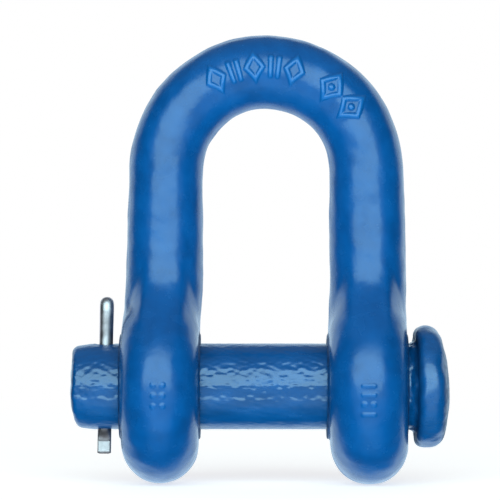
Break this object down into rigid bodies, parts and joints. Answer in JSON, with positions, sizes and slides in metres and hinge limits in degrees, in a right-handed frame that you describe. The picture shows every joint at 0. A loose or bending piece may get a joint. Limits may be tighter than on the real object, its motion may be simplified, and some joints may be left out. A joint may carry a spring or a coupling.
{
  "type": "dee shackle",
  "caption": "Forged dee shackle with a round headed load pin through both ears, held by a split pin.",
  "frame": {"origin": "on the load pin's axis, midway between the two ears", "axes": "+X along the load pin towards its head, +Z along the line of load towards the crown, +Y through the thickness"},
  "size_m": [0.0501, 0.0254, 0.0591],
  "materials": {
    "bow_paint": "gloss blue enamel over a forged surface",
    "pin_paint": "gloss blue enamel over a rough, streaky bar surface",
    "split_pin_steel": "bright drawn steel wire"
  },
  "bodies": {
    "bow_body": {"bow": "bow_paint"},
    "pin_body": {"pin": "pin_paint"},
    "cotter_body": {"cotter_pin": "split_pin_steel"}
  },
  "joints": [
    {"name": "pin_turn", "type": "hinge", "parent": "bow_body", "child": "pin_body", "pos_m": [0, 0, 0], "axis": [1, 0, 0], "continuous": true},
    {"name": "cotter_pull", "type": "slide", "parent": "pin_body", "child": "cotter_body", "axis": [0, 0, 1], "range_m": [-0.0015, 0.0145]}
  ]
}
